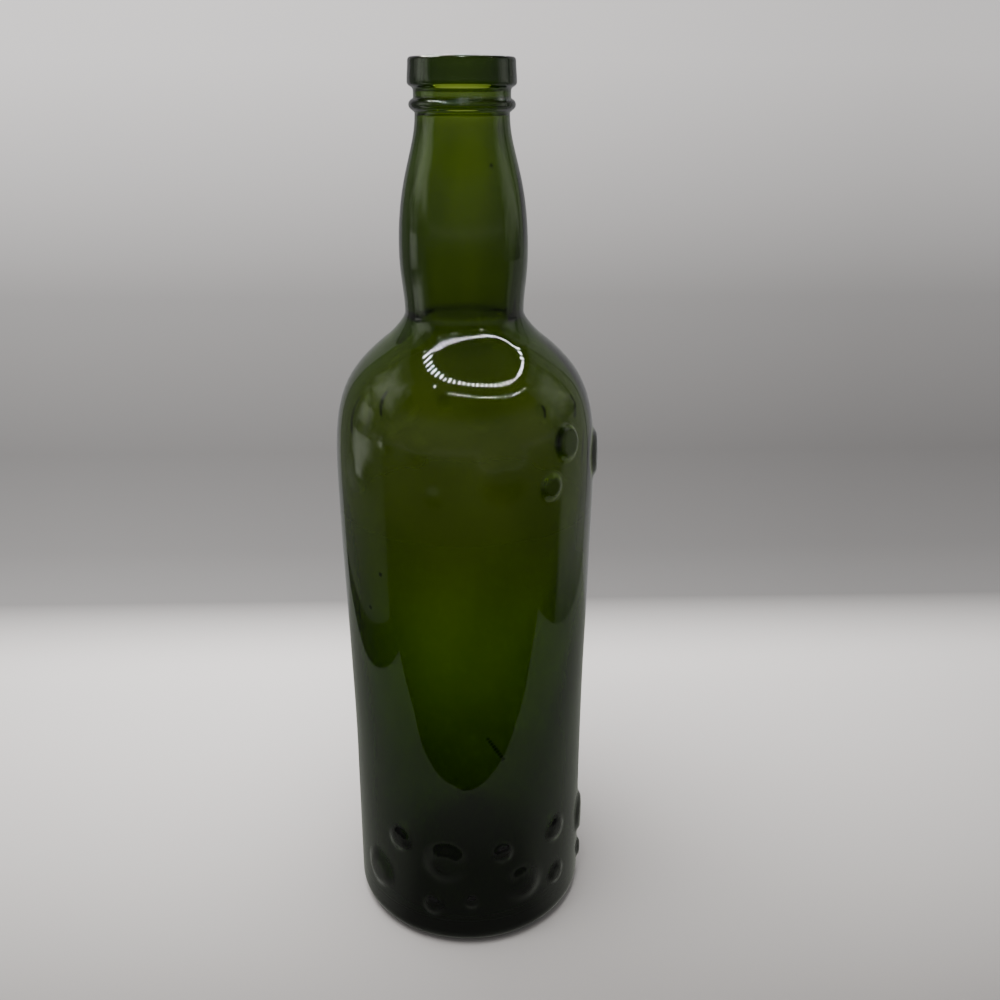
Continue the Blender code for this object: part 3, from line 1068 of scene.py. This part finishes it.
def shade_middle(material):
    """Near the bottle the floor is dark ahead of it and bright beside it."""
    tree = material.node_tree
    links = tree.links
    place = add(tree, "ShaderNodeTexCoord")
    length = add(tree, "ShaderNodeVectorMath", operation="LENGTH")
    links.new(place.outputs["Object"], length.inputs[0])
    split = add(tree, "ShaderNodeSeparateXYZ")
    links.new(place.outputs["Object"], split.inputs[0])
    across = add(tree, "ShaderNodeMath", operation="ABSOLUTE")
    links.new(split.outputs["X"], across.inputs[0])
    share = add(tree, "ShaderNodeMath", operation="DIVIDE")
    links.new(across.outputs[0], share.inputs[0])
    links.new(length.outputs["Value"], share.inputs[1])
    beside = add(tree, "ShaderNodeMapRange", interpolation_type="SMOOTHSTEP")
    beside.inputs["From Min"].default_value = BESIDE_FROM
    beside.inputs["From Max"].default_value = BESIDE_TO
    beside.inputs["To Min"].default_value = CARD_AHEAD
    beside.inputs["To Max"].default_value = CARD_BESIDE
    links.new(share.outputs[0], beside.inputs["Value"])
    fall = add(tree, "ShaderNodeMapRange", interpolation_type="SMOOTHSTEP")
    fall.inputs["From Min"].default_value = NEAR_FROM
    fall.inputs["From Max"].default_value = NEAR_TO
    fall.inputs["To Max"].default_value = CARD_FAR
    links.new(length.outputs["Value"], fall.inputs["Value"])
    links.new(beside.outputs["Result"], fall.inputs["To Min"])
    links.new(fall.outputs["Result"], tree.nodes["Emission"].inputs["Strength"])


FLOOR_EDGE = ((-0.190, -0.100), (-0.177, -0.103), (-0.126, -0.111), (-0.091, -0.109),
              (-0.057, -0.117), (-0.028, -0.123), (0.005, -0.124), (0.042, -0.122),
              (0.069, -0.120), (0.105, -0.121), (0.149, -0.115), (0.230, -0.113))
FLOOR_CARD_HEIGHT = 0.0004
CARD_BACK = 0.19
CARD_LEFT = -0.19
CARD_RIGHT = 0.23
CARD_TOP = 0.44
CARD_COLOR = (0.96, 1.0, 0.88, 1.0)
WHITE = (1.0, 1.0, 1.0, 1.0)
BACK_CARD_STRENGTH = 0.35
SIDE_CARDS = (
    ("side_left", CARD_LEFT, (-0.07, 0.025), 0.20, 0.16),
    ("side_right", CARD_RIGHT, (-0.03, 0.0), 0.34, 0.10),
)
for name, x, low, strength, softness in SIDE_CARDS:
    card(name, (x, *low), (x, CARD_BACK, CARD_TOP), CARD_COLOR, strength, softness)
card("back_card", (CARD_LEFT, CARD_BACK, 0.0), (CARD_RIGHT, CARD_BACK, CARD_TOP), WHITE, BACK_CARD_STRENGTH)
floor_outline = [(x, y, FLOOR_CARD_HEIGHT) for x, y in FLOOR_EDGE]
floor_outline += [(x, CARD_BACK, FLOOR_CARD_HEIGHT) for x in (CARD_RIGHT, CARD_LEFT)]
floor_card = flat_card("floor_card", floor_outline, CARD_COLOR, CARD_FAR)
shade_middle(floor_card.data.materials[0])
print("floor card corners", len(floor_outline))

# %% [markdown]
# Each pale spot on the shoulder is one more soft card, a little in front of the side
# card. Its place sets where the spot lies, and its size sets how far the spot reaches
# round the glass. A painted spot would be simpler, but it would stay where it is when
# the view turns, and a reflection moves.

# %% The patches
PATCH_GAP = 0.002
PATCH_SOFTNESS = 0.42
LEFT_X = CARD_LEFT + PATCH_GAP
RIGHT_X = CARD_RIGHT - PATCH_GAP
PATCHES = (
    ("left_patch_0", LEFT_X, (-0.05, 0.105), (0.07, 0.185), 1.1),
    ("left_patch_1", LEFT_X, (-0.035, 0.165), (0.06, 0.265), 0.95),
    ("left_patch_2", LEFT_X, (-0.10, 0.225), (0.09, 0.40), 1.15),
    ("right_patch", RIGHT_X, (-0.07, 0.19), (0.11, 0.40), 0.75),
)
for name, x, low, high, strength in PATCHES:
    card(name, (x, *low), (x, *high), CARD_COLOR, strength, PATCH_SOFTNESS)
tent.visible_glossy = False
print("patches", len(PATCHES))

# %% [markdown]
# A ring lamp is a circle of many small lights, and glass shows each of them. A glowing
# torus would give one smooth band. So the ring is made of small stretched beads, longer
# on its left, and an arc of finer beads in front gives the second, fainter line.

# %% The lamp ring
RING_CENTRE = (0.035, 0.035, 0.42)
RING_HALF = 0.150
RING_SQUARENESS = 2.25
RING_BEADS = 58
BEAD_LENGTH = 0.0082
BEAD_LEFT_EXTRA = 0.8
BEAD_WIDTH = 0.0019
BEAD_STRENGTH = 170.0
BEAD_COLOR = (1.0, 0.98, 0.92, 1.0)
ARC_CENTRE = (0.055, 0.010, 0.42)
ARC_HALF = 0.195
ARC_FROM = 205.0
ARC_TO = 345.0
ARC_BEADS = 40
ARC_BEAD_WIDTH = 0.0014


def ring_point(centre, half, angle):
    """A place on a squarish ring round the centre, turned to face outwards."""
    across, ahead = abs(math.cos(angle)), abs(math.sin(angle))
    radius = half / (across ** RING_SQUARENESS + ahead ** RING_SQUARENESS) ** (1.0 / RING_SQUARENESS)
    turn = Matrix.Rotation(angle, 4, "Z")
    return Matrix.Translation(centre) @ turn @ Matrix.Translation((radius, 0.0, 0.0))


def make_ring():
    """A squarish ring of bright beads, longer on its left, and an arc of fine beads before it."""
    shape = bmesh.new()
    for number in range(RING_BEADS):
        angle = math.tau * number / RING_BEADS
        length = BEAD_LENGTH * (1.0 + BEAD_LEFT_EXTRA * max(0.0, -math.cos(angle)))
        stretch = Matrix.Diagonal((length, BEAD_WIDTH, BEAD_WIDTH, 1.0))
        place = ring_point(RING_CENTRE, RING_HALF, angle) @ stretch
        bmesh.ops.create_icosphere(shape, subdivisions=1, radius=1.0, matrix=place)
    for number in range(ARC_BEADS):
        angle = math.radians(ARC_FROM + (ARC_TO - ARC_FROM) * number / (ARC_BEADS - 1))
        place = ring_point(ARC_CENTRE, ARC_HALF, angle)
        bmesh.ops.create_icosphere(shape, subdivisions=1, radius=ARC_BEAD_WIDTH, matrix=place)
    mesh = bpy.data.meshes.new("lamp_ring")
    shape.to_mesh(mesh)
    shape.free()
    mesh.materials.append(glow("lamp_bead", BEAD_COLOR, BEAD_STRENGTH))
    ring = bpy.data.objects.new("lamp_ring", mesh)
    bpy.context.scene.collection.objects.link(ring)
    reflect_only(ring)
    return ring


make_ring()
print("lamp beads", RING_BEADS + ARC_BEADS)

# %% [markdown]
# The floor still needs real light, so that the bottle throws its soft shadow and the
# cloth its gradient. Two square area lamps above give it. They are hidden from
# reflections and from sight through the glass, where they would show as bright squares.

# %% Soft light from above
LAMP_COLOR = (1.0, 0.965, 0.94)
LAMP_POWER = 3.0
SOFT_LAMPS = (
    ("front_soft", (-0.06, -0.08, 0.44), (0.0, 0.03, 0.0), 0.26),
    ("back_soft", (-0.06, 0.12, 0.55), (0.0, 0.12, 0.0), 0.40),
)


def area_lamp(name, place, target, size):
    """A square soft lamp that points at the target."""
    data = bpy.data.lights.new(name, "AREA")
    data.shape = "SQUARE"
    data.size = size
    data.energy = LAMP_POWER
    data.color = LAMP_COLOR
    lamp = bpy.data.objects.new(name, data)
    bpy.context.scene.collection.objects.link(lamp)
    lamp.location = place
    lamp.rotation_euler = (Vector(target) - Vector(place)).to_track_quat("-Z", "Y").to_euler()
    lamp.visible_glossy = False
    lamp.visible_transmission = False
    return lamp


for name, place, target, size in SOFT_LAMPS:
    area_lamp(name, place, target, size)
print("soft lamps", len(SOFT_LAMPS))
